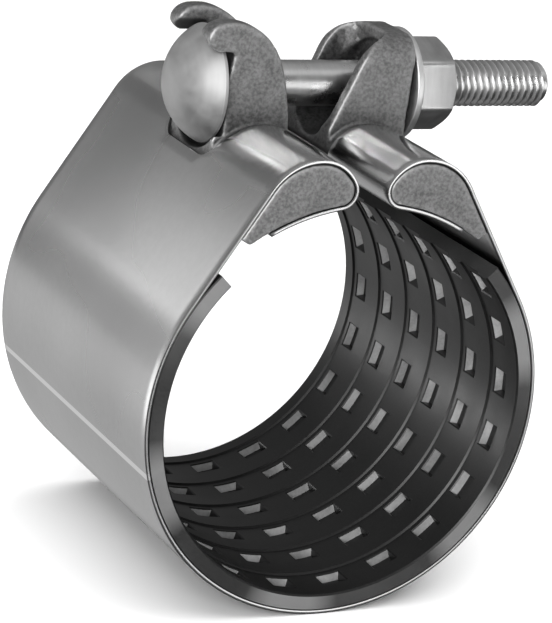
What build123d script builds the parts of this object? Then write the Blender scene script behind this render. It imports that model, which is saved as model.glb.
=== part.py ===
"""Single-bolt pipe repair clamp: a stainless band round a rubber gasket, drawn up by one bolt.

Millimetres, +Z up. The origin is the pipe's axis at the middle of the band's width. The pipe
runs along Y, the bolt lies along X above the band, its head at -X and its nut at +X.
"""

from build123d import *

import os
from math import atan2, cos, degrees, radians, sin, sqrt

# pipe, gasket and band
PIPE_R = 50.8  # a pipe 4.00 in (101.6 mm) across
GASKET_T = 4.35
GASKET_END = 46.0  # degrees from the top, each side
BAND_T = 1.0
BAND_W = 101.6
BAND_R = 56.2  # outside of the band
BAND_FIT = 0.05  # between the band and what it holds

# each end of the band, looped round its lug's bar
LEAVES_AT = 58.0  # degrees from the top, where the band leaves the circle
CREST_X = 15.0
CREST_Z = 67.8
NOSE_X = 8.9
NOSE_R = 4.9
LEG_END = 29.5  # degrees from the top, where the returned leg ends
SLOT_HALF_W = 16.5
SLOT_OUTER_X = 30.0
SLOT_CORNER_R = 7.0
SLOT_FLOOR_Z = 50.0

# lug bars
TAIL_X = 35.4
TAIL_UNDER = 35.5  # degrees from the top

# bolt, 1/2-13 UNC, 4 in long
BOLT_Z = 74.6
BOLT_D = 12.7
SHANK_D = 12.2
BOLT_LENGTH = 101.6
THREAD_LENGTH = 56.0
TIP_CHAMFER = 1.4
HEAD_X = -26.0  # bearing plane under the head
HEAD_R = 15.6
HEAD_RIM = 1.0
HEAD_DOME = 9.6
NECK_SIDE = 12.7
NECK_LENGTH = 6.0
NECK_CORNER_R = 1.5
RIM_ROUND = 0.4

# washer and nut
WASHER_X = 29.5
WASHER_T = 1.9
WASHER_R = 15.2
WASHER_HOLE_R = 7.15
WASHER_ROUND = 0.3
NUT_AF = 22.2
NUT_T = 12.3
NUT_FACE_R = 10.6  # outer face, inside its chamfer
NUT_CONE = radians(30)
NUT_TURN = -9.5  # degrees, how the hexagon happens to stand
THREAD_FIT = 0.06

# ears, which rise from the bars through the band's slots
EAR_HALF_W = 13.0
EAR_FOOT_Z = 57.0
TROUGH_Z = 60.9

# fork, its side outline as points (x, z)
FORK_FOOT_X = -6.2
FORK_BACK = ((-6.4, 67.8), (-8.0, 76.1), (-10.4, 83.4), (-14.4, 89.2), (-20.0, 92.7))
FORK_HOOK = ((-26.0, 93.6), (-30.8, 92.0), (-32.2, 89.0), (-29.8, 86.0))
HOOK_ROOT_Z = 83.4
TOE_TOP_Z = 68.0
TOE_X = -28.3
TOE_Z = 62.5
FORK_FLOOR_Z = 66.8
FORK_HALF_SLOT = 6.75
HEAD_CLEARANCE = 1.1
SEAT_X = -25.7  # where the head bears on the fork
SEAT_LOW_X = -24.9  # the fork leans back below and above the seat, so the bolt can tilt
SEAT_HIGH_X = -23.3
SEAT_HALF_HEIGHT = 2.0

# hood, its mouth's side outline as points (x, z)
HOOD_FOOT_X = 7.5
HOOD_MOUTH = ((5.4, 65.0), (8.3, 72.0), (11.2, 78.6), (13.6, 84.0), (17.2, 88.0), (24.5, 90.4))
HOOD_HEEL = (5.5, 61.0)
HOOD_TOP = 90.0
HOOD_CORNER_R = 7.0
HOOD_FACE_X = 29.3
HOOD_FACE_FOOT_X = 28.0
HOOD_WALL = 4.5  # behind the washer
HOOD_CHEEK = 3.4
CAVITY_R = 9.0
HOOD_OPEN_X = 22.5  # the roof is open from the mouth to here
HOOD_OPEN_R = 6.0
HOOD_HOLE_R = 7.3

# gasket's tread
LANES = 6
LANE_PITCH = 16.4
LANE_W = 9.6
LANE_DEPTH = 0.5
ROWS = 16
ROW_PITCH = 16.9  # degrees
POCKET_W = 5.6
POCKET_LENGTH = 6.6
POCKET_DEPTH = 2.4
POCKET_CORNER_R = 0.6

BIG = 200.0
os.makedirs("parts", exist_ok=True)


def on_circle(centre, radius, angle):
    """A point of a circle, at an angle in degrees from the top towards +X."""
    a = radians(angle)
    return (centre[0] + radius * sin(a), centre[1] + radius * cos(a))


def bow(centre, radius, start, end):
    """An arc about a centre, between two angles in degrees from the top towards +X."""
    return ThreePointArc(
        on_circle(centre, radius, start),
        on_circle(centre, radius, (start + end) / 2),
        on_circle(centre, radius, end),
    )


# The looped end is a chain of arcs that run into each other. It is worked out for the +X end.
AXIS = (0.0, 0.0)
rise = radians(LEAVES_AT)
run_on_line = (CREST_Z - BAND_R * cos(rise)) / sin(rise)
line_at_crest_x = BAND_R * sin(rise) - run_on_line * cos(rise)
SHOULDER_R = (line_at_crest_x - CREST_X) / ((1 - cos(rise)) / sin(rise))
SHOULDER = (CREST_X, CREST_Z - SHOULDER_R)
NOSE = (NOSE_X, sqrt((BAND_R - BAND_T + NOSE_R) ** 2 - NOSE_X**2))
drop = CREST_Z - NOSE[1]
BROW_R = ((CREST_X - NOSE_X) ** 2 + drop**2 - NOSE_R**2) / (2 * (drop - NOSE_R))
BROW = (CREST_X, CREST_Z - BROW_R)
BROW_END = degrees(atan2(NOSE[0] - BROW[0], NOSE[1] - BROW[1]))
NOSE_TIP = -90.0
NOSE_UNDER = degrees(atan2(-NOSE[0], -NOSE[1]))
LEG_START = degrees(atan2(NOSE[0], NOSE[1]))


def over_the_bar(depth, tail=None):
    """The loop's line from where it leaves the circle to its nose, at a depth below its outside."""
    if tail is None:
        tail = on_circle(AXIS, BAND_R - depth, LEAVES_AT)
    shoulder = on_circle(SHOULDER, SHOULDER_R - depth, LEAVES_AT)
    Line(tail, shoulder)
    bow(SHOULDER, SHOULDER_R - depth, LEAVES_AT, 0)
    bow(BROW, BROW_R - depth, 0, BROW_END)
    bow(NOSE, NOSE_R - depth, BROW_END, NOSE_TIP)


def band_strip():
    """Lines round half the band, from the bottom to its nose."""
    for depth in (0, BAND_T):
        bow(AXIS, BAND_R - depth, 180, LEAVES_AT)
        over_the_bar(depth)
    Line((0, -BAND_R), (0, BAND_T - BAND_R))
    Line(on_circle(NOSE, NOSE_R, NOSE_TIP), on_circle(NOSE, NOSE_R - BAND_T, NOSE_TIP))


def returned_leg():
    """Lines round the band's end, from its nose back under the bar."""
    for depth in (0, BAND_T):
        bow(NOSE, NOSE_R - depth, NOSE_TIP, NOSE_UNDER)
        bow(AXIS, BAND_R - BAND_T + depth, LEG_START, LEG_END)
    Line(on_circle(NOSE, NOSE_R, NOSE_TIP), on_circle(NOSE, NOSE_R - BAND_T, NOSE_TIP))
    Line(on_circle(AXIS, BAND_R - BAND_T, LEG_END), on_circle(AXIS, BAND_R, LEG_END))


def bar_section():
    """Lines round a lug bar's teardrop section, which fills the band's loop."""
    skin = BAND_T + BAND_FIT
    foot_r = BAND_R + BAND_FIT
    lean = on_circle(AXIS, BAND_R - skin, LEAVES_AT)
    tail = (TAIL_X, lean[1] + (lean[0] - TAIL_X) * sin(rise) / cos(rise))
    over_the_bar(skin, tail)
    bow(NOSE, NOSE_R - skin, NOSE_TIP, NOSE_UNDER)
    bow(AXIS, foot_r, LEG_START, TAIL_UNDER)
    Line(on_circle(AXIS, foot_r, TAIL_UNDER), tail)


# Band: one strip, its ends slotted for the ears where they loop over the bars.
with BuildPart() as band:
    with BuildSketch(Plane.XZ):
        with BuildLine():
            band_strip()
        make_face()
    extrude(amount=BAND_W / 2, both=True)
    slot_length = SLOT_OUTER_X + SLOT_CORNER_R
    with BuildSketch(Plane.XY.offset(SLOT_FLOOR_Z)):
        with Locations((SLOT_OUTER_X - slot_length / 2, 0)):
            RectangleRounded(slot_length, 2 * SLOT_HALF_W, SLOT_CORNER_R)
    extrude(amount=BIG, mode=Mode.SUBTRACT)
    with BuildSketch(Plane.XZ):
        with BuildLine():
            returned_leg()
        make_face()
    extrude(amount=BAND_W / 2, both=True)
    mirror(about=Plane.YZ)
band.part.label = "band"
export_step(band.part, "parts/band.step")

# Gasket: an open ring with six shallow lanes and rows of square pockets in its inner face.
lane_places = [(i - (LANES - 1) / 2) * LANE_PITCH for i in range(LANES)]
with BuildPart() as gasket:
    with BuildSketch(Plane.XZ):
        with BuildLine():
            outer_r = PIPE_R + GASKET_T
            bow(AXIS, outer_r, GASKET_END, 360 - GASKET_END)
            bow(AXIS, PIPE_R, GASKET_END, 360 - GASKET_END)
            for end in (GASKET_END, -GASKET_END):
                Line(on_circle(AXIS, outer_r, end), on_circle(AXIS, PIPE_R, end))
        make_face()
    extrude(amount=BAND_W / 2, both=True)
    for y in lane_places:
        with BuildSketch(Plane.XZ.offset(-y)):
            Circle(PIPE_R + LANE_DEPTH)
        extrude(amount=LANE_W / 2, both=True, mode=Mode.SUBTRACT)
    for row in range(ROWS):
        turn = 180 + (row - (ROWS - 1) / 2) * ROW_PITCH
        outward = Vector(sin(radians(turn)), 0, cos(radians(turn)))
        with BuildSketch(Plane(origin=outward * PIPE_R, x_dir=(0, 1, 0), z_dir=outward)):
            with Locations([(y, 0) for y in lane_places]):
                RectangleRounded(POCKET_W, POCKET_LENGTH, POCKET_CORNER_R)
        extrude(amount=POCKET_DEPTH, both=True, mode=Mode.SUBTRACT)
gasket.part.label = "gasket"
export_step(gasket.part, "parts/gasket.step")


def fork_profile():
    """Lines round the fork as seen along the pipe: its back, hook, seat and toe."""
    foot = (FORK_FOOT_X, EAR_FOOT_Z)
    hook_root = (SEAT_X, HOOK_ROOT_Z)
    Line(foot, FORK_BACK[0])
    Spline(*FORK_BACK, *FORK_HOOK, hook_root)
    Polyline(hook_root, (SEAT_X, TOE_TOP_Z), (TOE_X, TOE_Z), (TOE_X, EAR_FOOT_Z), foot)


# The room that the bolt's head needs in the fork, to seat and to tilt.
with BuildPart() as head_room:
    with BuildSketch(Plane.YZ.offset(-BIG)):
        with Locations((0, BOLT_Z)):
            Circle(HEAD_R + HEAD_CLEARANCE)
    extrude(amount=2 * BIG)
    with BuildSketch(Plane.XZ):
        with BuildLine():
            Polyline(
                (-BIG, 0),
                (SEAT_LOW_X, 0),
                (SEAT_LOW_X, BOLT_Z - HEAD_R),
                (SEAT_X, BOLT_Z - SEAT_HALF_HEIGHT),
                (SEAT_X, BOLT_Z + SEAT_HALF_HEIGHT),
                (SEAT_HIGH_X, BOLT_Z + HEAD_R + HEAD_CLEARANCE),
                (SEAT_HIGH_X, BIG),
                (-BIG, BIG),
                close=True,
            )
        make_face()
    extrude(amount=BIG, both=True, mode=Mode.INTERSECT)

# Head-side lug: the bar, and an open fork whose two fingers hook over the bolt's head.
with BuildPart() as head_lug:
    with BuildSketch(Plane.XZ):
        with BuildLine():
            bar_section()
        make_face()
    extrude(amount=BAND_W / 2, both=True)
    mirror(about=Plane.YZ, mode=Mode.REPLACE)
    with BuildSketch(Plane.XZ):
        with BuildLine():
            fork_profile()
        make_face()
    extrude(amount=EAR_HALF_W, both=True)
    with BuildSketch(Plane.XZ):
        with BuildLine():
            Polyline(
                (-BIG, FORK_FLOOR_Z),
                (SEAT_X, FORK_FLOOR_Z),
                (-NOSE_X, TROUGH_Z),
                (0, TROUGH_Z),
                (0, BIG),
                (-BIG, BIG),
                close=True,
            )
        make_face()
    extrude(amount=FORK_HALF_SLOT, both=True, mode=Mode.SUBTRACT)
    add(head_room.part, mode=Mode.SUBTRACT)
head_lug.part.label = "head_lug"
export_step(head_lug.part, "parts/head_lug.step")


def hood_profile():
    """Lines round the hood as seen along the pipe, with its slanted mouth."""
    foot = (HOOD_FOOT_X, EAR_FOOT_Z)
    brim = HOOD_MOUTH[-1]
    Polyline(foot, HOOD_HEEL, HOOD_MOUTH[0])
    Spline(*HOOD_MOUTH)
    Polyline(brim, (HOOD_FACE_X, brim[1]), (HOOD_FACE_FOOT_X, EAR_FOOT_Z), foot)


# Nut-side lug: the bar, and a hood with an arched wall for the washer and an open mouth.
hood_height = HOOD_TOP - EAR_FOOT_Z
cavity_half_w = EAR_HALF_W - HOOD_CHEEK
cavity_height = HOOD_TOP - HOOD_CHEEK - TROUGH_Z
with BuildPart() as nut_lug:
    with BuildSketch(Plane.XZ):
        with BuildLine():
            hood_profile()
        make_face()
    extrude(amount=EAR_HALF_W, both=True)
    with BuildSketch(Plane.YZ.offset(-BIG)):
        with Locations((0, HOOD_TOP - hood_height / 2 - HOOD_CORNER_R)):
            RectangleRounded(2 * EAR_HALF_W, hood_height + 2 * HOOD_CORNER_R, HOOD_CORNER_R)
    extrude(amount=2 * BIG, mode=Mode.INTERSECT)
    with BuildSketch(Plane.XZ):
        with BuildLine():
            bar_section()
        make_face()
    extrude(amount=BAND_W / 2, both=True)
    with BuildSketch(Plane.YZ.offset(-BIG)):
        with Locations((0, TROUGH_Z + cavity_height / 2)):
            RectangleRounded(2 * cavity_half_w, cavity_height, CAVITY_R)
    extrude(amount=BIG + HOOD_FACE_FOOT_X - HOOD_WALL, mode=Mode.SUBTRACT)
    with BuildSketch(Plane.XY.offset(BOLT_Z)):
        RectangleRounded(2 * HOOD_OPEN_X, 2 * cavity_half_w, HOOD_OPEN_R)
    extrude(amount=BIG, mode=Mode.SUBTRACT)
    with BuildSketch(Plane.YZ):
        with Locations((0, BOLT_Z)):
            Circle(HOOD_HOLE_R)
    extrude(amount=BIG, mode=Mode.SUBTRACT)
nut_lug.part.label = "nut_lug"
export_step(nut_lug.part, "parts/nut_lug.step")

# Bolt: a domed round head, a square neck that the fork keeps from turning, shank and thread.
with BuildPart() as bolt:
    with BuildSketch(Plane.XZ):
        with BuildLine():
            dome_x = HEAD_X - HEAD_RIM
            Line((dome_x - HEAD_DOME, BOLT_Z), (HEAD_X, BOLT_Z))
            Line((HEAD_X, BOLT_Z), (HEAD_X, BOLT_Z + HEAD_R))
            Line((HEAD_X, BOLT_Z + HEAD_R), (dome_x, BOLT_Z + HEAD_R))
            dome_r = (HEAD_R**2 + HEAD_DOME**2) / (2 * HEAD_DOME)
            dome_angle = degrees(atan2(HEAD_R, dome_r - HEAD_DOME))
            dome_centre = (dome_x - HEAD_DOME + dome_r, BOLT_Z)
            bow(dome_centre, dome_r, dome_angle - 90, -90)
        make_face()
    revolve(axis=Axis((0, 0, BOLT_Z), (1, 0, 0)))
    fillet(bolt.edges().filter_by(GeomType.CIRCLE).group_by(Axis.X)[-1], RIM_ROUND)
    bolt_end = HEAD_X + BOLT_LENGTH
    with BuildSketch(Plane.YZ.offset(HEAD_X)):
        with Locations((0, BOLT_Z)):
            Circle(SHANK_D / 2)
    extrude(amount=BOLT_LENGTH - THREAD_LENGTH)
    with BuildSketch(Plane.YZ.offset(HEAD_X)):
        with Locations((0, BOLT_Z)):
            RectangleRounded(NECK_SIDE, NECK_SIDE, NECK_CORNER_R)
    extrude(amount=NECK_LENGTH)
    with BuildSketch(Plane.YZ.offset(bolt_end)):
        with Locations((0, BOLT_Z)):
            Circle(BOLT_D / 2)
    extrude(amount=-THREAD_LENGTH)
    chamfer(bolt.edges().group_by(Axis.X)[-1], TIP_CHAMFER)
bolt.part.label = "bolt"
export_step(bolt.part, "parts/bolt.step")

# Washer, flat on the nut's inner face.
with BuildPart() as washer:
    with BuildSketch(Plane.YZ.offset(WASHER_X)):
        with Locations((0, BOLT_Z)):
            Circle(WASHER_R)
            Circle(WASHER_HOLE_R, mode=Mode.SUBTRACT)
    extrude(amount=WASHER_T)
    fillet(washer.edges().filter_by(GeomType.CIRCLE), WASHER_ROUND)
washer.part.label = "washer"
export_step(washer.part, "parts/washer.step")

# Heavy hex nut: a hexagonal prism whose outer corners are turned off in a cone.
with BuildPart() as nut:
    nut_x = WASHER_X + WASHER_T
    corner_r = NUT_AF / sqrt(3)
    with BuildSketch(Plane.YZ.offset(nut_x)):
        with Locations(Location((0, BOLT_Z), 90 + NUT_TURN)):
            RegularPolygon(corner_r, 6)
    extrude(amount=NUT_T)
    with BuildSketch(Plane.XZ):
        with BuildLine():
            Polyline(
                (nut_x, BOLT_Z),
                (nut_x, BOLT_Z + corner_r),
                (nut_x + NUT_T - (corner_r - NUT_FACE_R) * sin(NUT_CONE), BOLT_Z + corner_r),
                (nut_x + NUT_T, BOLT_Z + NUT_FACE_R),
                (nut_x + NUT_T, BOLT_Z),
                close=True,
            )
        make_face()
    revolve(axis=Axis((0, 0, BOLT_Z), (1, 0, 0)), mode=Mode.INTERSECT)
    with BuildSketch(Plane.YZ.offset(nut_x)):
        with Locations((0, BOLT_Z)):
            Circle(BOLT_D / 2 + THREAD_FIT)
    extrude(amount=NUT_T, mode=Mode.SUBTRACT)
nut.part.label = "nut"
export_step(nut.part, "parts/nut.step")
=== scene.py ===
"""Looks of the pipe repair clamp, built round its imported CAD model.

Metres, +Z up. The origin is the pipe's axis at the middle of the band's width. The pipe runs
along Y, the bolt lies along X above the band, its head at -X and its nut at +X.
"""

from math import atan2, ceil, cos, pi, radians, sin, sqrt, tan

import bmesh
import bpy
from mathutils import Matrix, Vector, noise


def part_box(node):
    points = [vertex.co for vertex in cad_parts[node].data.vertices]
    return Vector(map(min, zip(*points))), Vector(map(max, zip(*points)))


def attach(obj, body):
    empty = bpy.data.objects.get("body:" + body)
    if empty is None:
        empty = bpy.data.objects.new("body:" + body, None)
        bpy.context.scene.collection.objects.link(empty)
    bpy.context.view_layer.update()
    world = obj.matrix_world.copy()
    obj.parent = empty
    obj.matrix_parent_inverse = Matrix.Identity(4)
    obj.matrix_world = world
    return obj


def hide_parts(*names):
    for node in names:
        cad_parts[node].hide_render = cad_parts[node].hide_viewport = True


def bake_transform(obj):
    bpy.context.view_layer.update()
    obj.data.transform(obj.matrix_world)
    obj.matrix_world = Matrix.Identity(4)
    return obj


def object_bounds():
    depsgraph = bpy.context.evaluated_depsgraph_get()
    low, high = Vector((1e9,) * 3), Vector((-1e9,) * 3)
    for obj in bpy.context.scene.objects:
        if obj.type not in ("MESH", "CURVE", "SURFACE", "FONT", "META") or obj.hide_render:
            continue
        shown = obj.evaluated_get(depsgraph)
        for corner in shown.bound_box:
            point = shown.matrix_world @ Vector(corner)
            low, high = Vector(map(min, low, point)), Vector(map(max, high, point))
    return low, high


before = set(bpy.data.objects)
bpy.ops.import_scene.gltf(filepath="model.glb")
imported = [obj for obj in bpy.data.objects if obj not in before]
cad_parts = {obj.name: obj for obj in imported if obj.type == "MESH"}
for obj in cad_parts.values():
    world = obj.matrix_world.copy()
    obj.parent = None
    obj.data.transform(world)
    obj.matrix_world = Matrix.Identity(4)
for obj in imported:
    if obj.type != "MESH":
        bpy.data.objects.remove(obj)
cad_low, cad_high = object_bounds()

MM = 0.001

# camera
CAMERA_AZIMUTH = radians(-27.59)
CAMERA_ELEVATION = radians(17.35)
CAMERA_ROLL = radians(6.81)
CAMERA_DISTANCE = 810.4 * MM
CAMERA_TARGET = Vector((3.0, 0, 10.6)) * MM
CAMERA_LENS = 172.55
SENSOR = 36.0

# where the lamps point
MIDDLE = Vector((0, 0, 0.02))

# pipe, gasket and band
band_low, band_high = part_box("band")
PIPE_R = 50.8 * MM
GASKET_R = 55.15 * MM
GASKET_END = radians(46.0)
BAND_T = 1.0 * MM
BAND_R = -band_low.z
HALF_W = band_high.y

# looped ends of the band
LEAVES_AT = radians(58.0)
CREST_X = 15.0 * MM
CREST_Z = band_high.z
NOSE_X = 8.9 * MM
NOSE_R = 4.9 * MM
LEG_END = radians(29.5)
SLOT_HALF_W = 16.5 * MM
SLOT_OUTER_X = 30.0 * MM
SLOT_CORNER_R = 7.0 * MM

# marks on the band: a painted highlight stripe across it, and bends polished above a height
PAINTED_STRIPE_AT = radians(-105)
PAINTED_STRIPE_HALF_W = 0.8 * MM
POLISH_FROM_Z = 58 * MM
POLISH_FULL_Z = 63 * MM

# gasket's tread
LANES = 6
LANE_PITCH = 16.4 * MM
LANE_HALF_W = 4.8 * MM
LANE_DEPTH = 0.5 * MM
ROWS = 16
ROW_PITCH = radians(16.9)
POCKET_HALF_W = 2.8 * MM
POCKET_HALF_L = 3.3 * MM
POCKET_DEPTH = 2.4 * MM
POCKET_WALL = 0.3 * MM

# bolt, washer and nut
bolt_low, bolt_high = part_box("bolt")
washer_low, washer_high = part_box("washer")
nut_low, nut_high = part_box("nut")
BOLT_Z = (washer_low.z + washer_high.z) / 2
BOLT_R = 6.35 * MM
SHANK_R = 6.1 * MM
BOLT_END = bolt_high.x
THREAD_PITCH = 25.4 * MM / 13
THREAD_START = BOLT_END - 56.0 * MM
TIP_CHAMFER = 1.4 * MM
HEAD_TIP = bolt_low.x
HEAD_X = -26.0 * MM
HEAD_R = 15.6 * MM
HEAD_RIM = 1.0 * MM
NECK_HALF = 6.35 * MM
NECK_LENGTH = 6.0 * MM
NECK_CORNER_R = 1.5 * MM
NECK_TAPER = 0.8 * MM
WASHER_R = washer_high.y
WASHER_HOLE_R = 7.15 * MM
NUT_APOTHEM = 11.1 * MM
NUT_FACE_R = 10.6 * MM
NUT_BORE_R = 6.41 * MM
NUT_CONE = radians(30)
NUT_CORNER_AT = radians(80.5)

# bending zone under the pipe, narrower than the gap between the loops
BEND_HALF = 3.9 * MM

# how finely curves are cut
COLUMNS = 96
ARC_STEP = radians(1.6)
CASTING_CELL = 0.42 * MM
WELD = 0.001 * MM


# ---------------------------------------------------------------- mesh helpers


def on_circle(centre, radius, angle):
    """A point (x, z) of a circle, at an angle from the top towards +X."""
    return Vector((centre[0] + radius * sin(angle), centre[1] + radius * cos(angle)))


def spread(start, end, count):
    """Evenly spaced values from start to end, both included."""
    return [start + (end - start) * i / count for i in range(count + 1)]


def new_piece(name, vertices, faces, smooth_to=32.0):
    """A mesh object, smooth except across edges sharper than an angle in degrees."""
    mesh = bpy.data.meshes.new(name)
    mesh.from_pydata(vertices, [], faces)
    shell = bmesh.new()
    shell.from_mesh(mesh)
    bmesh.ops.remove_doubles(shell, verts=shell.verts, dist=WELD)
    bmesh.ops.dissolve_degenerate(shell, edges=shell.edges, dist=WELD)
    bmesh.ops.recalc_face_normals(shell, faces=shell.faces)
    shell.to_mesh(mesh)
    shell.free()
    piece = bpy.data.objects.new(name, mesh)
    bpy.context.scene.collection.objects.link(piece)
    set_smooth(piece, smooth_to)
    return piece


def set_smooth(piece, angle):
    """Smooth shading, with edges sharper than an angle in degrees kept sharp."""
    mesh = piece.data
    mesh.polygons.foreach_set("use_smooth", [True] * len(mesh.polygons))
    mesh.set_sharp_from_angle(angle=radians(angle))


def apply_modifiers(piece):
    """Makes the piece's mesh the one that its modifiers give."""
    seen = piece.evaluated_get(bpy.context.evaluated_depsgraph_get())
    made = bpy.data.meshes.new_from_object(seen)
    piece.modifiers.clear()
    piece.data = made


def soften_edges(piece, width, angle=35.0, segments=2):
    """Rounds every edge sharper than an angle in degrees."""
    bevel = piece.modifiers.new("rounded", "BEVEL")
    bevel.width = width
    bevel.segments = segments
    bevel.limit_method = "ANGLE"
    bevel.angle_limit = radians(angle)
    apply_modifiers(piece)
    set_smooth(piece, angle)


def ring_grid(rings):
    """Vertices and faces of rings about the bolt's axis.

    A ring is (x, radius) or (x, radii by column), and a radius of 0 closes an end.
    """
    vertices, faces = [], []
    for x, radius in rings:
        for column in range(COLUMNS):
            r = radius[column] if isinstance(radius, list) else radius
            turn = 2 * pi * column / COLUMNS
            vertices.append((x, r * cos(turn), BOLT_Z + r * sin(turn)))
    for ring in range(len(rings) - 1):
        for column in range(COLUMNS):
            right = (column + 1) % COLUMNS
            a, b = ring * COLUMNS, (ring + 1) * COLUMNS
            faces.append((a + column, a + right, b + right, b + column))
    return vertices, faces


def corner_arc(x, r, size, start, end, count=4):
    """Ring places along a rounded edge: the centre (x, r), its size and two angles from +X."""
    return [(x + size * cos(a), r + size * sin(a)) for a in spread(start, end, count)]


# ---------------------------------------------------------------- band


def band_line():
    """Half of the band's outside line, from the bottom to its leg's end, at +X.

    Each stop is (point, outward direction, half the slot's width there or None).
    """
    rise = LEAVES_AT
    crest_run = (CREST_Z - BAND_R * cos(rise)) / sin(rise)
    at_crest = BAND_R * sin(rise) - crest_run * cos(rise)
    shoulder_r = (at_crest - CREST_X) / ((1 - cos(rise)) / sin(rise))
    shoulder = (CREST_X, CREST_Z - shoulder_r)
    nose = (NOSE_X, sqrt((BAND_R - BAND_T + NOSE_R) ** 2 - NOSE_X**2))
    drop = CREST_Z - nose[1]
    brow_r = ((CREST_X - NOSE_X) ** 2 + drop**2 - NOSE_R**2) / (2 * (drop - NOSE_R))
    brow = (CREST_X, CREST_Z - brow_r)
    brow_end = atan2(nose[0] - brow[0], nose[1] - brow[1])
    nose_under = atan2(-nose[0], -nose[1])
    leg_start = atan2(nose[0], nose[1])
    flank_top = on_circle(shoulder, shoulder_r, rise)
    flank_foot = on_circle((0, 0), BAND_R, rise)
    corner_x = SLOT_OUTER_X - SLOT_CORNER_R
    narrow = SLOT_HALF_W - SLOT_CORNER_R

    def stop(centre, radius, angle, slot=None, side=1):
        outward = Vector((sin(angle), cos(angle))) * side
        return (on_circle(centre, radius, angle), outward, slot)

    stops = []
    for angle in spread(pi, pi - radians(6), 12) + spread(radians(172), rise, 76):
        stops.append(stop((0, 0), BAND_R, angle))
    # the flank, and the slot's outer end with its rounded corners
    flank = Vector((sin(rise), cos(rise)))
    slot_end_share = (flank_foot.x - SLOT_OUTER_X) / (flank_foot.x - flank_top.x)
    for share in spread(0, slot_end_share, 10)[1:-1]:
        stops.append((flank_foot.lerp(flank_top, share), flank, None))
    for turn in spread(radians(90), 0, 10):
        x = corner_x + SLOT_CORNER_R * sin(turn)
        half = narrow + SLOT_CORNER_R * cos(turn)
        if x > flank_top.x:
            share = (flank_foot.x - x) / (flank_foot.x - flank_top.x)
            stops.append((flank_foot.lerp(flank_top, share), flank, half))
        else:
            angle = atan2(x - shoulder[0], sqrt(shoulder_r**2 - (x - shoulder[0]) ** 2))
            stops.append(stop(shoulder, shoulder_r, angle, half))
    for angle in spread(angle, 0, 9)[1:]:
        stops.append(stop(shoulder, shoulder_r, angle, SLOT_HALF_W))
    for angle in spread(0, brow_end, 12)[1:]:
        stops.append(stop(brow, brow_r, angle, SLOT_HALF_W))
    for angle in spread(brow_end, -pi / 2, 8)[1:]:
        stops.append(stop(nose, NOSE_R, angle, SLOT_HALF_W))
    for angle in spread(-pi / 2, nose_under, 10)[1:]:
        stops.append(stop(nose, NOSE_R, angle))
    for angle in spread(leg_start, LEG_END, 14)[1:]:
        stops.append(stop((0, 0), BAND_R - BAND_T, angle, side=-1))
    return stops


def make_band():
    """The band: one strip with thickness, slotted for the ears, on a grid of stops and lines."""
    half = band_line()
    mirrored = [(Vector((-p.x, p.y)), Vector((-n.x, n.y)), s) for p, n, s in half]
    stops = mirrored[:0:-1] + half
    side_lines, middle_lines = 14, 8
    vertices, faces = [], []
    lines = 2 * side_lines + middle_lines + 1
    for point, outward, slot in stops:
        edge = slot if slot is not None else SLOT_HALF_W - SLOT_CORNER_R
        if slot is None and point.y > 0 and point.length < CREST_Z and abs(point.x) < SLOT_OUTER_X:
            edge = SLOT_HALF_W
        ys = spread(-HALF_W, -edge, side_lines)[:-1] + spread(-edge, edge, middle_lines)
        ys += spread(edge, HALF_W, side_lines)[1:]
        inside = point - outward * BAND_T
        for place in (point, inside):
            vertices += [(place.x, y, place.y) for y in ys]
    middle = range(side_lines, side_lines + middle_lines)
    open_cells = set()
    for i in range(len(stops) - 1):
        slotted = stops[i][2] is not None and stops[i + 1][2] is not None
        for line in range(lines - 1):
            if slotted and line in middle:
                open_cells.add((i, line))
    rims = {}
    for i in range(len(stops) - 1):
        for line in range(lines - 1):
            if (i, line) in open_cells:
                continue
            a = i * 2 * lines + line
            b = (i + 1) * 2 * lines + line
            outer = (a, a + 1, b + 1, b)
            faces.append(outer)
            faces.append(tuple(v + lines for v in reversed(outer)))
            for k in range(4):
                edge = (outer[k], outer[(k + 1) % 4])
                key = tuple(sorted(edge))
                rims[key] = None if key in rims else edge
    for edge in rims.values():
        if edge is not None:
            a, b = edge
            faces.append((b, a, a + lines, b + lines))
    band = new_piece("band_sheet", vertices, faces)
    loose = bmesh.new()
    loose.from_mesh(band.data)
    bmesh.ops.delete(loose, geom=[v for v in loose.verts if not v.link_faces], context="VERTS")
    loose.to_mesh(band.data)
    loose.free()
    soften_edges(band, 0.22 * MM, 40.0)
    return band


# ---------------------------------------------------------------- gasket


def lane_profile():
    """Stops across the gasket's inner face, front to back: (y, depth, pocket's share of depth)."""
    edge = 0.45 * MM
    lip = 0.18 * MM
    stops = [(-HALF_W, edge, None), (-HALF_W + edge, 0, None)]
    for lane in range(LANES):
        centre = (lane - (LANES - 1) / 2) * LANE_PITCH
        side = [
            (LANE_HALF_W + lip, 0, None),
            (LANE_HALF_W, lip, None),
            (LANE_HALF_W - POCKET_WALL, LANE_DEPTH, None),
            (POCKET_HALF_W + POCKET_WALL, LANE_DEPTH, 0),
            (POCKET_HALF_W, LANE_DEPTH, 1),
            (POCKET_HALF_W - POCKET_WALL, LANE_DEPTH, 2),
        ]
        stops += [(centre - y, d, p) for y, d, p in side]
        stops += [(centre + y, d, p) for y, d, p in reversed(side)]
    stops += [(HALF_W - edge, 0, None), (HALF_W, edge, None)]
    return stops


def pocket_rows():
    """The rows' middles, as angles round the pipe from the bottom."""
    return [(row - (ROWS - 1) / 2) * ROW_PITCH for row in range(ROWS)]


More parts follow.
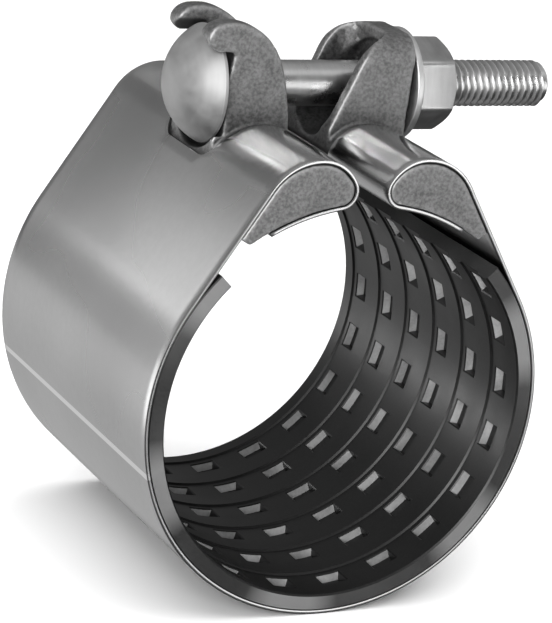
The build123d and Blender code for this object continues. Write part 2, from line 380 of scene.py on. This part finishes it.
def row_angles():
    """Stops round the gasket from the bottom: (angle from the bottom, pocket's level or None)."""
    reach = pi - GASKET_END
    halves = (POCKET_HALF_L + POCKET_WALL, POCKET_HALF_L, POCKET_HALF_L - POCKET_WALL)
    stops = []
    for centre in pocket_rows():
        for sign in (-1, 1):
            for level, half in enumerate(halves):
                stops.append((centre + sign * half / PIPE_R, level))
    stops.sort()
    ends = [-reach] + [a for a, _ in stops] + [reach]
    fill = []
    for low, high in zip(ends, ends[1:]):
        count = ceil((high - low) / ARC_STEP)
        fill += [(low + (high - low) * k / count, None) for k in range(1, count)]
    bend = BEND_HALF / GASKET_R
    fill += [(a, None) for a in spread(-bend, bend, 10)]
    return sorted(stops + fill + [(-reach, None), (reach, None)], key=lambda s: s[0])


def make_gasket():
    """The gasket: its cross-section, lanes and pockets included, carried round the ring."""
    across = lane_profile()
    around = row_angles()
    depths = (0, POCKET_WALL, POCKET_DEPTH)
    outer_edge = 0.3 * MM
    back = [
        (HALF_W, GASKET_R - outer_edge),
        (HALF_W - outer_edge, GASKET_R),
        (HALF_W / 3, GASKET_R),
        (-HALF_W / 3, GASKET_R),
        (-HALF_W + outer_edge, GASKET_R),
        (-HALF_W, GASKET_R - outer_edge),
    ]
    rounding_error = 1e-6
    floor_reach = (POCKET_HALF_L - POCKET_WALL) / PIPE_R + rounding_error
    vertices, faces = [], []
    for angle, level in around:
        inside = any(abs(angle - row) <= floor_reach for row in pocket_rows())
        row_level = 2 if inside else level
        ring = []
        for y, depth, lane_level in across:
            extra = 0
            if row_level is not None and lane_level is not None:
                extra = depths[min(row_level, lane_level)]
            ring.append((y, PIPE_R + depth + extra))
        ring += back
        vertices += [(-r * sin(angle), y, -r * cos(angle)) for y, r in ring]
    count = len(across) + len(back)
    for i in range(len(around) - 1):
        for k in range(count):
            a, b = i * count, (i + 1) * count
            right = (k + 1) % count
            faces.append((a + k, a + right, b + right, b + k))
    faces.append(tuple(range(count)))
    faces.append(tuple((len(around) - 1) * count + k for k in reversed(range(count))))
    return new_piece("gasket_tread", vertices, faces, 20.0)


def mark_gasket_faces(mesh):
    """Second material, a painted sheen, on the faces that end the gasket; third, painted light, on
    walls across the pipe's axis.
    """
    rim_width = 1.0 * MM
    for face in mesh.polygons:
        radial = Vector((face.center.x, 0, face.center.z)).normalized()
        if abs(face.normal.dot(radial)) > 0.6:
            continue
        # the end faces take the painted sheen, the walls across the axis the painted light
        if HALF_W - abs(face.center.y) < rim_width or len(face.vertices) > 4:
            face.material_index = 1
        elif abs(face.normal.y) > 0.5:
            face.material_index = 2


def mark_head_faces(mesh):
    """Second material on the bolt's head."""
    for face in mesh.polygons:
        if face.center.x < HEAD_X + 0.1 * MM:
            face.material_index = 1


# ---------------------------------------------------------------- lugs


def make_casting(node, name, seed):
    """A sand-cast copy of a CAD lug: its edges rounded and its skin a little uneven."""
    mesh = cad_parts[node].data.copy()
    mesh.materials.clear()
    joined = bmesh.new()
    joined.from_mesh(mesh)
    bmesh.ops.remove_doubles(joined, verts=joined.verts, dist=WELD)
    joined.to_mesh(mesh)
    joined.free()
    piece = bpy.data.objects.new(name, mesh)
    bpy.context.scene.collection.objects.link(piece)
    remesh = piece.modifiers.new("cells", "REMESH")
    remesh.mode = "VOXEL"
    remesh.voxel_size = CASTING_CELL
    apply_modifiers(piece)
    # the ears are rounded more than the bar, which keeps to the band
    ear_z = CREST_Z - 1.0 * MM
    low = [v.index for v in piece.data.vertices if v.co.z <= ear_z]
    high = [v.index for v in piece.data.vertices if v.co.z > ear_z]
    for group, part in (("bar", low), ("ear", high)):
        piece.vertex_groups.new(name=group).add(part, 1.0, "REPLACE")
    for group, turns in (("bar", 5), ("ear", 16), ("", 3)):
        smooth = piece.modifiers.new(group or "all", "SMOOTH")
        smooth.factor = 0.5
        smooth.iterations = turns
        smooth.vertex_group = group
    apply_modifiers(piece)
    piece.vertex_groups.clear()
    mesh = piece.data
    y_limit = HALF_W - 0.02 * MM
    offset = Vector((seed, 0, 0))
    normals = [v.normal.copy() for v in mesh.vertices]
    for vertex, normal in zip(mesh.vertices, normals):
        place = vertex.co / MM
        wide = noise.noise(place * 0.22 + offset)
        fine = noise.noise(place * 0.9 + offset)
        vertex.co -= normal * (0.05 + 0.05 * wide + 0.03 * fine) * MM
        vertex.co.y = max(min(vertex.co.y, y_limit), -y_limit)
    set_smooth(piece, 60.0)
    return piece


# ---------------------------------------------------------------- bolt, washer, nut


def square_ring(half, corner):
    """Radii by column of a square with rounded corners."""
    radii = []
    for column in range(COLUMNS):
        turn = 2 * pi * column / COLUMNS
        c, s = abs(cos(turn)), abs(sin(turn))
        flat = half / max(c, s)
        inner = half - corner
        reach = inner * (c + s)
        round_r = reach + sqrt(max(reach**2 - (2 * inner**2 - corner**2), 0))
        radii.append(min(flat, round_r))
    return radii


def thread_grid():
    """Vertices and faces of the screw thread, laid along its helix."""
    depth = THREAD_PITCH * 0.5413
    run_in_length = 1.5 * THREAD_PITCH
    crest = 0.05 * MM
    # one turn of the thread: (share of the pitch, depth of cut)
    shape = [(0.0, 0.0), (0.09, 0.0), (0.13, crest), (0.40, depth), (0.60, depth), (0.96, crest)]
    steps = len(shape)
    turns = ceil((BOLT_END - THREAD_START) / THREAD_PITCH) + 2
    vertices, faces = [], []
    for column in range(COLUMNS):
        turn = 2 * pi * column / COLUMNS
        for k in range(turns * steps):
            share, cut = shape[k % steps]
            x = THREAD_START + (k // steps + share - 1 + column / COLUMNS) * THREAD_PITCH
            x = min(max(x, THREAD_START), BOLT_END)
            run_in = min((x - THREAD_START) / run_in_length, 1)
            r = SHANK_R + (BOLT_R - cut - SHANK_R) * run_in
            r = min(r, BOLT_R - TIP_CHAMFER + BOLT_END - x)
            vertices.append((x, r * cos(turn), BOLT_Z + r * sin(turn)))
    rows = turns * steps
    for column in range(COLUMNS):
        right = (column + 1) % COLUMNS
        shift = 0 if right else steps
        for k in range(rows - 1 - shift):
            a, b = column * rows + k, right * rows + k + shift
            faces.append((a, b, b + 1, a + 1))
    return vertices, faces


def make_bolt():
    """The bolt: domed head, square neck, shank, and a thread with a chamfered end."""
    rim_x = HEAD_X - HEAD_RIM
    dome = rim_x - HEAD_TIP
    dome_r = (HEAD_R**2 + dome**2) / (2 * dome)
    centre_x = HEAD_TIP + dome_r
    widest = atan2(HEAD_R, dome_r - dome)
    dome_end = widest * 0.965
    edge = 0.4 * MM
    underside_r = 9.5 * MM
    rings = [(centre_x - dome_r * cos(a), dome_r * sin(a)) for a in spread(0, dome_end, 22)]
    rings += corner_arc(rim_x + 0.1 * MM, HEAD_R - edge, edge, radians(140), radians(90))
    rings += corner_arc(HEAD_X - edge, HEAD_R - edge, edge, radians(90), 0)
    rings.append((HEAD_X, underside_r))
    neck = square_ring(NECK_HALF, NECK_CORNER_R)
    neck_end = HEAD_X + NECK_LENGTH
    rings.append((HEAD_X, neck))
    rings.append((neck_end - NECK_TAPER, neck))
    rings.append((neck_end, SHANK_R + 0.05 * MM))
    rings += [(x, SHANK_R) for x in spread(neck_end + 0.3 * MM, THREAD_START, 10)]
    tip_r = BOLT_R - TIP_CHAMFER
    tip = [(BOLT_END, tip_r), (BOLT_END, tip_r / 2), (BOLT_END, 0)]
    vertices, faces = [], []
    for part_vertices, part_faces in (ring_grid(rings), thread_grid(), ring_grid(tip)):
        start = len(vertices)
        vertices += part_vertices
        faces += [tuple(v + start for v in face) for face in part_faces]
    return new_piece("bolt_screw", vertices, faces, 30.0)


def make_washer():
    """The washer, its four edges rounded as a punched washer's are."""
    edge = 0.35 * MM
    near, far = washer_low.x, washer_high.x
    rings = corner_arc(near + edge, WASHER_R - edge, edge, pi, pi / 2)
    rings += corner_arc(far - edge, WASHER_R - edge, edge, pi / 2, 0)
    rings += corner_arc(far - edge, WASHER_HOLE_R + edge, edge, 0, -pi / 2)
    rings += corner_arc(near + edge, WASHER_HOLE_R + edge, edge, -pi / 2, -pi)
    rings.append(rings[0])
    return new_piece("washer_ring", *ring_grid(rings))


def make_nut():
    """The nut: a hexagon whose outer corners are turned off in a cone, with a countersunk bore."""
    off_washer = 0.03 * MM
    near, far = nut_low.x + off_washer, nut_high.x
    countersink = 0.9 * MM
    vertices, faces = [], []
    for column in range(COLUMNS):
        turn = 2 * pi * column / COLUMNS
        from_flat = ((turn - NUT_CORNER_AT) % radians(60)) - radians(30)
        r = NUT_APOTHEM / cos(from_flat)
        cone_x = far - (r - NUT_FACE_R) * tan(NUT_CONE)
        line = [
            (near, NUT_BORE_R + countersink),
            (near, r),
            (cone_x, r),
            (far, NUT_FACE_R),
            (far, NUT_BORE_R + countersink),
            (far - countersink, NUT_BORE_R),
            (near + countersink, NUT_BORE_R),
        ]
        vertices += [(x, q * cos(turn), BOLT_Z + q * sin(turn)) for x, q in line]
    rows = len(line)
    for column in range(COLUMNS):
        right = (column + 1) % COLUMNS
        for k in range(rows):
            a, b = column * rows, right * rows
            up = (k + 1) % rows
            faces.append((a + k, b + k, b + up, a + up))
    nut = new_piece("nut_hexagon", vertices, faces, 20.0)
    soften_edges(nut, 0.28 * MM, 22.0)
    return nut


# ---------------------------------------------------------------- materials


class Finish:
    """A node material on a Principled shader, with short ways to add its procedural parts."""

    def __init__(self, name, metallic, roughness, **fixed):
        self.material = bpy.data.materials.new(name)
        self.material.use_nodes = True
        self.nodes = self.material.node_tree.nodes
        self.links = self.material.node_tree.links
        self.shader = self.nodes["Principled BSDF"]
        self.shader.inputs["Metallic"].default_value = metallic
        self.shader.inputs["Roughness"].default_value = roughness
        for socket, value in fixed.items():
            self.shader.inputs[socket.replace("_", " ")].default_value = value
        self.place = self.nodes.new("ShaderNodeTexCoord").outputs["Object"]
        self.bump_end = None

    def grain(self, scale, detail=4.0, stretch=(1, 1, 1), roughness=0.5):
        """A noise pattern, scale in cells per metre, stretched per axis."""
        mapping = self.nodes.new("ShaderNodeMapping")
        mapping.inputs["Scale"].default_value = stretch
        self.links.new(self.place, mapping.inputs["Vector"])
        texture = self.nodes.new("ShaderNodeTexNoise")
        texture.inputs["Scale"].default_value = scale
        texture.inputs["Detail"].default_value = detail
        texture.inputs["Roughness"].default_value = roughness
        self.links.new(mapping.outputs["Vector"], texture.inputs["Vector"])
        return texture.outputs["Fac"]

    def cells(self, scale):
        """A pattern of pits, 0 at each pit's middle."""
        texture = self.nodes.new("ShaderNodeTexVoronoi")
        texture.inputs["Scale"].default_value = scale
        self.links.new(self.place, texture.inputs["Vector"])
        return texture.outputs["Distance"]

    def coordinate(self, axis):
        """The place along one axis, in metres."""
        split = self.nodes.new("ShaderNodeSeparateXYZ")
        self.links.new(self.place, split.inputs["Vector"])
        return split.outputs[axis]

    def angle_from(self, start):
        """The angle round the pipe's axis, from the top towards +X, less a starting angle."""
        angle = self.maths("ARCTAN2", self.coordinate("X"), self.coordinate("Z"))
        return self.maths("ADD", angle, -start)

    def between(self, value, low, high):
        """0 below low, 1 above high, smooth between them."""
        span = self.nodes.new("ShaderNodeMapRange")
        span.interpolation_type = "SMOOTHSTEP"
        span.inputs["From Min"].default_value = low
        span.inputs["From Max"].default_value = high
        self.links.new(value, span.inputs["Value"])
        return span.outputs["Result"]

    def maths(self, kind, a, b=0):
        """Arithmetic on a pattern, and another pattern or a number where it takes two."""
        node = self.nodes.new("ShaderNodeMath")
        node.operation = kind
        self.links.new(a, node.inputs[0])
        if isinstance(b, (int, float)):
            node.inputs[1].default_value = b
        else:
            self.links.new(b, node.inputs[1])
        return node.outputs["Value"]

    def edges(self):
        """High on raised edges, low in hollows."""
        return self.nodes.new("ShaderNodeNewGeometry").outputs["Pointiness"]

    def hollows(self, reach):
        """Low in corners and hollows within a reach: a mask for painted shade."""
        shade = self.nodes.new("ShaderNodeAmbientOcclusion")
        shade.samples = 8
        shade.inputs["Distance"].default_value = reach
        return shade.outputs["AO"]

    def ramp(self, value, stops):
        """A colour ramp, stops as (position, grey)."""
        ramp = self.nodes.new("ShaderNodeValToRGB")
        points = ramp.color_ramp.elements
        while len(points) < len(stops):
            points.new(0.5)
        for point, (position, grey) in zip(points, stops):
            point.position = position
            point.color = (grey, grey, grey, 1)
        self.links.new(value, ramp.inputs["Fac"])
        return ramp.outputs["Color"]

    def mixed(self, a, b, share, kind="MIX"):
        """Two colours mixed, share being a number or a pattern."""
        mix = self.nodes.new("ShaderNodeMix")
        mix.data_type = "RGBA"
        mix.blend_type = kind
        self.links.new(a, mix.inputs["A"])
        self.links.new(b, mix.inputs["B"])
        if isinstance(share, (int, float)):
            mix.inputs["Factor"].default_value = share
        else:
            self.links.new(share, mix.inputs["Factor"])
        return mix.outputs["Result"]

    def colour(self, value):
        self.links.new(value, self.shader.inputs["Base Color"])

    def roughness(self, value):
        self.links.new(value, self.shader.inputs["Roughness"])

    def bump(self, height, strength, distance):
        """Adds a bump layer on top of those before it."""
        bump = self.nodes.new("ShaderNodeBump")
        bump.inputs["Strength"].default_value = strength
        bump.inputs["Distance"].default_value = distance
        self.links.new(height, bump.inputs["Height"])
        if self.bump_end is not None:
            self.links.new(self.bump_end, bump.inputs["Normal"])
        self.bump_end = bump.outputs["Normal"]
        self.links.new(self.bump_end, self.shader.inputs["Normal"])


def rolled_steel():
    """Satin stainless sheet: soft clouding, a painted highlight stripe, painted highlights on its
    edges, and polished bends.
    """
    finish = Finish("rolled_stainless", 1.0, 0.26)
    lines = finish.grain(900, 3.0, (0.04, 1.0, 0.04))
    clouds = finish.grain(21, 1.0)
    speckle = finish.grain(500, 2.0)
    tone = finish.ramp(clouds, [(0.3, 0.50), (0.7, 0.62)])
    tone = finish.mixed(tone, finish.ramp(lines, [(0.3, 0.52), (0.7, 0.60)]), 0.15)
    tone = finish.mixed(tone, finish.ramp(speckle, [(0.35, 0.52), (0.65, 0.60)]), 0.2)
    # painted highlight along the sheet's raised edges
    tone = finish.mixed(tone, finish.ramp(finish.edges(), [(0.50, 0.0), (0.60, 0.5)]), 0.5, "ADD")
    # a painted highlight stripe along the sheet's width, below the head side's flank
    away = finish.maths("ABSOLUTE", finish.angle_from(PAINTED_STRIPE_AT))
    half = PAINTED_STRIPE_HALF_W / BAND_R
    line = finish.between(away, half * 1.25, half * 0.75)
    tone = finish.mixed(tone, finish.ramp(line, [(0, 0), (1, 0.7)]), 1.0, "ADD")
    finish.colour(tone)
    # the bends over the bars are polished by the tool, and a little wavy
    bends = finish.between(finish.coordinate("Z"), POLISH_FROM_Z, POLISH_FULL_Z)
    satin = finish.ramp(clouds, [(0.3, 0.26), (0.7, 0.30)])
    finish.roughness(finish.mixed(satin, finish.ramp(clouds, [(0.3, 0.17), (0.7, 0.21)]), bends))
    finish.bump(finish.maths("MULTIPLY", finish.grain(150, 2.0), bends), 0.6, 0.15 * MM)
    return finish.material


def rubber():
    """Black moulded rubber with a satin sheen, a fine grain and dust in places."""
    finish = Finish("black_rubber", 0.0, 0.42, Specular_IOR_Level=0.45)
    skin = finish.grain(1500, 3.0)
    patches = finish.grain(60, 3.0)
    tone = finish.ramp(patches, [(0.35, 0.004), (0.7, 0.009)])
    tone = finish.mixed(tone, finish.ramp(skin, [(0.4, 0.002), (0.7, 0.014)]), 0.4)
    finish.colour(tone)
    finish.roughness(finish.ramp(patches, [(0.3, 0.34), (0.7, 0.44)]))
    finish.bump(skin, 0.25, 0.03 * MM)
    return finish.material


def painted_light_rubber(name, low, high, scale, sheen_swells=0):
    """Lighter matt rubber that stands in for light: painted sheen on the gasket's cut faces,
    painted light on its walls across the axis. Its grey wanders from low to high.

    The grey can also swell that many times round the pipe's axis, as painted sheen lightest at one
    angle.
    """
    finish = Finish(name, 0.0, 0.7)
    skin = finish.grain(1300, 3.0)
    patches = finish.grain(scale, 2.0)
    # grey in patches, which on the cut faces is painted sheen
    tone = finish.ramp(patches, [(0.38, low), (0.62, high)])
    tone = finish.mixed(tone, finish.ramp(skin, [(0.35, low), (0.65, high)]), 0.25)
    if sheen_swells:
        # painted sheen: the grey swells round the pipe's axis, lightest at one angle
        from_lightest = finish.angle_from(radians(70))
        wave = finish.maths("COSINE", finish.maths("MULTIPLY", from_lightest, sheen_swells))
        tone = finish.mixed(tone, finish.ramp(wave, [(0.0, low), (0.8, high)]), 0.75)
    finish.colour(tone)
    finish.roughness(finish.ramp(skin, [(0.3, 0.6), (0.7, 0.8)]))
    finish.bump(skin, 0.3, 0.03 * MM)
    return finish.material


def cast_iron():
    """Ductile iron as cast: sandy and mottled, with painted highlights on its edges and painted
    shade in its hollows.
    """
    finish = Finish("cast_iron", 0.75, 0.5)
    sand = finish.grain(1100, 4.0, roughness=0.6)
    mottle = finish.grain(170, 6.0, roughness=0.65)
    pits = finish.cells(620)
    tone = finish.ramp(mottle, [(0.35, 0.16), (0.65, 0.27)])
    tone = finish.mixed(tone, finish.ramp(sand, [(0.38, 0.07), (0.62, 0.36)]), 0.45)
    # painted highlight along raised edges
    tone = finish.mixed(tone, finish.ramp(finish.edges(), [(0.50, 0.0), (0.58, 0.6)]), 0.6, "ADD")
    # painted shade: darker in corners and hollows, where shade falls
    painted_shade = finish.ramp(finish.hollows(14 * MM), [(0.35, 0.22), (0.85, 1.0)])
    tone = finish.mixed(tone, painted_shade, 1.0, "MULTIPLY")
    finish.colour(tone)
    finish.roughness(finish.ramp(sand, [(0.35, 0.42), (0.65, 0.60)]))
    finish.bump(pits, 0.25, 0.10 * MM)
    finish.bump(sand, 0.45, 0.12 * MM)
    return finish.material


def turned_steel(name, base, rough, line_scale):
    """Machined or plated steel with fine marks, small stains and painted highlights on its edges.
    """
    finish = Finish(name, 1.0, rough)
    stains = finish.grain(240, 4.0)
    marks = finish.grain(line_scale, 2.0, (1.0, 0.12, 0.12))
    tone = finish.ramp(stains, [(0.3, base - 0.07), (0.7, base + 0.05)])
    tone = finish.mixed(tone, finish.ramp(marks, [(0.3, base - 0.1), (0.7, base + 0.1)]), 0.3)
    # painted highlight along raised edges
    tone = finish.mixed(tone, finish.ramp(finish.edges(), [(0.50, 0.0), (0.58, 0.5)]), 0.5, "ADD")
    finish.colour(tone)
    finish.roughness(finish.ramp(stains, [(0.3, rough - 0.06), (0.7, rough + 0.07)]))
    finish.bump(marks, 0.12, 0.02 * MM)
    finish.bump(stains, 0.15, 0.05 * MM)
    return finish.material


def pale_floor():
    """A matt near-white floor with the faintest unevenness."""
    finish = Finish("pale_floor", 0.0, 0.9)
    finish.colour(finish.ramp(finish.grain(9, 2.0), [(0.3, 0.90), (0.7, 0.92)]))
    return finish.material


# ---------------------------------------------------------------- camera, floor and light


def aim(direction, up):
    """A rotation that looks along a direction with a given up."""
    forward = direction.normalized()
    right = forward.cross(up).normalized()
    top = right.cross(forward)
    return Matrix((right, top, -forward)).transposed()


def make_camera():
    """The camera, at the catalogue view's angle."""
    across, along = sin(CAMERA_AZIMUTH), cos(CAMERA_AZIMUTH)
    level = cos(CAMERA_ELEVATION)
    forward = Vector((-across * level, along * level, -sin(CAMERA_ELEVATION)))
    turn = aim(forward, Vector((0, 0, 1))) @ Matrix.Rotation(CAMERA_ROLL, 3, "Z")
    place = Matrix.Translation(CAMERA_TARGET - forward * CAMERA_DISTANCE)
    data = bpy.data.cameras.new("camera")
    data.lens = CAMERA_LENS
    data.sensor_width = SENSOR
    camera = bpy.data.objects.new("camera", data)
    camera.matrix_world = place @ turn.to_4x4()
    bpy.context.scene.collection.objects.link(camera)
    bpy.context.scene.camera = camera


def softbox(name, direction, distance, size, watts, up=(0, 0, 1)):
    """A rectangular light at a distance from the object's middle, facing it."""
    data = bpy.data.lights.new(name, "AREA")
    data.shape = "RECTANGLE"
    data.size, data.size_y = size
    data.energy = watts
    lamp = bpy.data.objects.new(name, data)
    away = Vector(direction).normalized()
    place = Matrix.Translation(MIDDLE + away * distance)
    lamp.matrix_world = place @ aim(-away, Vector(up)).to_4x4()
    lamp.visible_camera = False
    bpy.context.scene.collection.objects.link(lamp)
    return lamp


def only_for(lamp, piece, shaded=True):
    """Keeps a lamp's light to one piece. Unshaded, no other piece stands in its way."""
    receivers = bpy.data.collections.new(lamp.name + "_receivers")
    receivers.objects.link(piece)
    lamp.light_linking.receiver_collection = receivers
    if not shaded:
        lamp.light_linking.blocker_collection = receivers
        lamp.data.cycles.use_multiple_importance_sampling = False


def all_but(lamp, piece):
    """Keeps a lamp's light off one piece."""
    only_for(lamp, piece)
    group = lamp.light_linking.receiver_collection
    group.collection_objects[0].light_linking.link_state = "EXCLUDE"


def make_floor():
    """A wide floor at the band's lowest point, and a lamp that only it receives."""
    half = 4.0
    gap = 0.02 * MM
    z = cad_low.z - gap
    corners = [(-half, -half, z), (half, -half, z), (half, half, z), (-half, half, z)]
    floor = new_piece("floor", corners, [(0, 1, 2, 3)])
    floor.data.materials.append(pale_floor())
    floor.visible_glossy = False
    floor.visible_shadow = False
    only_for(softbox("floor_wash", (0, 0, 1), 1.3, (2.4, 2.4), 40, up=(0, 1, 0)), floor)


def panel(name, centre, size, glow):
    """A lit panel at a place, facing the object's middle, as bright as its glow."""
    away = Vector(centre) - MIDDLE
    watts = glow * pi * size[0] * size[1]
    return softbox(name, away, away.length, size, watts)


def make_light(band, gasket):
    """Soft studio light. The band gets a softer lamp of its own from the front left."""
    panel("back_wall_low", (-0.145, 0.26, -0.15), (0.46, 0.30), 0.50)
    panel("back_wall_high", (-0.29, 0.26, 0.05), (0.22, 0.12), 0.40)
    panel("flank_glow", (-0.20, 0.224, 0.108), (0.065, 0.065), 1.6)
    panel("left", (-0.62, 0.48, -0.12), (0.30, 0.30), 1.5)
    panel("top", (0.30, -0.35, 0.80), (0.40, 0.40), 0.5)
    panel("right_front", (0.85, -0.45, 0.30), (0.70, 0.60), 0.5)
    panel("right_back", (0.90, 0.35, 0.20), (0.70, 0.60), 0.5)
    front_left = (-0.60, -0.80, 0.35), (0.60, 0.60)
    all_but(panel("front_left", *front_left, 9.0), band)
    only_for(panel("front_left_soft", *front_left, 1.1), band)
    panel("front_right", (0.45, -0.85, -0.06), (0.45, 0.45), 1.8)
    panel("shank_strip", (0.46, -0.85, 0.29), (0.40, 0.06), 4.0)
    only_for(panel("tread_sheen", (-0.48, 0.70, -0.10), (0.16, 0.16), 7.0), gasket)
    only_for(panel("bend_strip", (0.01, 0.60, 0.43), (0.34, 0.02), 3.6), band, shaded=False)


def make_room():
    """A dim grey room, darker below the floor and lightest overhead."""
    world = bpy.data.worlds.new("studio")
    bpy.context.scene.world = world
    world.use_nodes = True
    nodes, links = world.node_tree.nodes, world.node_tree.links
    direction = nodes.new("ShaderNodeTexCoord")
    split = nodes.new("ShaderNodeSeparateXYZ")
    links.new(direction.outputs["Generated"], split.inputs["Vector"])
    height = nodes.new("ShaderNodeMapRange")
    height.inputs["From Min"].default_value = -1.0
    links.new(split.outputs["Z"], height.inputs["Value"])
    ramp = nodes.new("ShaderNodeValToRGB")
    points = ramp.color_ramp.elements
    for position, grey in ((0.40, 0.05), (0.50, 0.12), (0.60, 0.22), (0.78, 0.20)):
        point = points.new(position)
        point.color = (grey, grey, grey, 1)
    points[0].color = (0.05, 0.05, 0.05, 1)
    points[-1].color = (0.50, 0.50, 0.50, 1)
    links.new(height.outputs["Result"], ramp.inputs["Fac"])
    links.new(ramp.outputs["Color"], nodes["Background"].inputs["Color"])
    bpy.context.scene.view_settings.view_transform = "Standard"


# ---------------------------------------------------------------- the clamp

make_camera()
make_floor()

iron = cast_iron()
steel = turned_steel("bolt_steel", 0.62, 0.3, 900)
forged = turned_steel("forged_head", 0.56, 0.62, 500)
# painted sheen: a lighter grey with swells round the axis, on the gasket's cut faces
cut = painted_light_rubber("cut_face_painted_sheen", 0.008, 0.16, 28, sheen_swells=6)
# painted light: a lighter grey on the pocket and lane walls across the axis
painted_lit_walls = painted_light_rubber("walls_painted_light", 0.20, 0.42, 90)
pieces = {
    "band": (make_band(), [rolled_steel()], "band_steel"),
    "gasket": (make_gasket(), [rubber(), cut, painted_lit_walls], "gasket_rubber"),
    "head_lug": (make_casting("head_lug", "head_side_casting", 3.0), [iron], "lug_iron"),
    "nut_lug": (make_casting("nut_lug", "nut_side_casting", 11.0), [iron], "lug_iron"),
    "bolt": (make_bolt(), [steel, forged], "bolt_steel"),
    "washer": (make_washer(), [turned_steel("washer_steel", 0.80, 0.42, 700)], "washer_steel"),
    "nut": (make_nut(), [turned_steel("nut_steel", 0.50, 0.36, 800)], "nut_steel"),
}
bodies = {
    "head_lug": "band_side",
    "nut_lug": "nut_side",
    "bolt": "bolt",
    "washer": "washer",
    "nut": "nut",
}
for node, (piece, materials, slot) in pieces.items():
    piece.data.materials.clear()
    for material in materials:
        piece.data.materials.append(material)
    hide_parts(node)
    if node in bodies:
        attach(piece, bodies[node])
    else:
        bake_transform(piece)
make_light(pieces["band"][0], pieces["gasket"][0])
make_room()
mark_gasket_faces(pieces["gasket"][0].data)
mark_head_faces(pieces["bolt"][0].data)
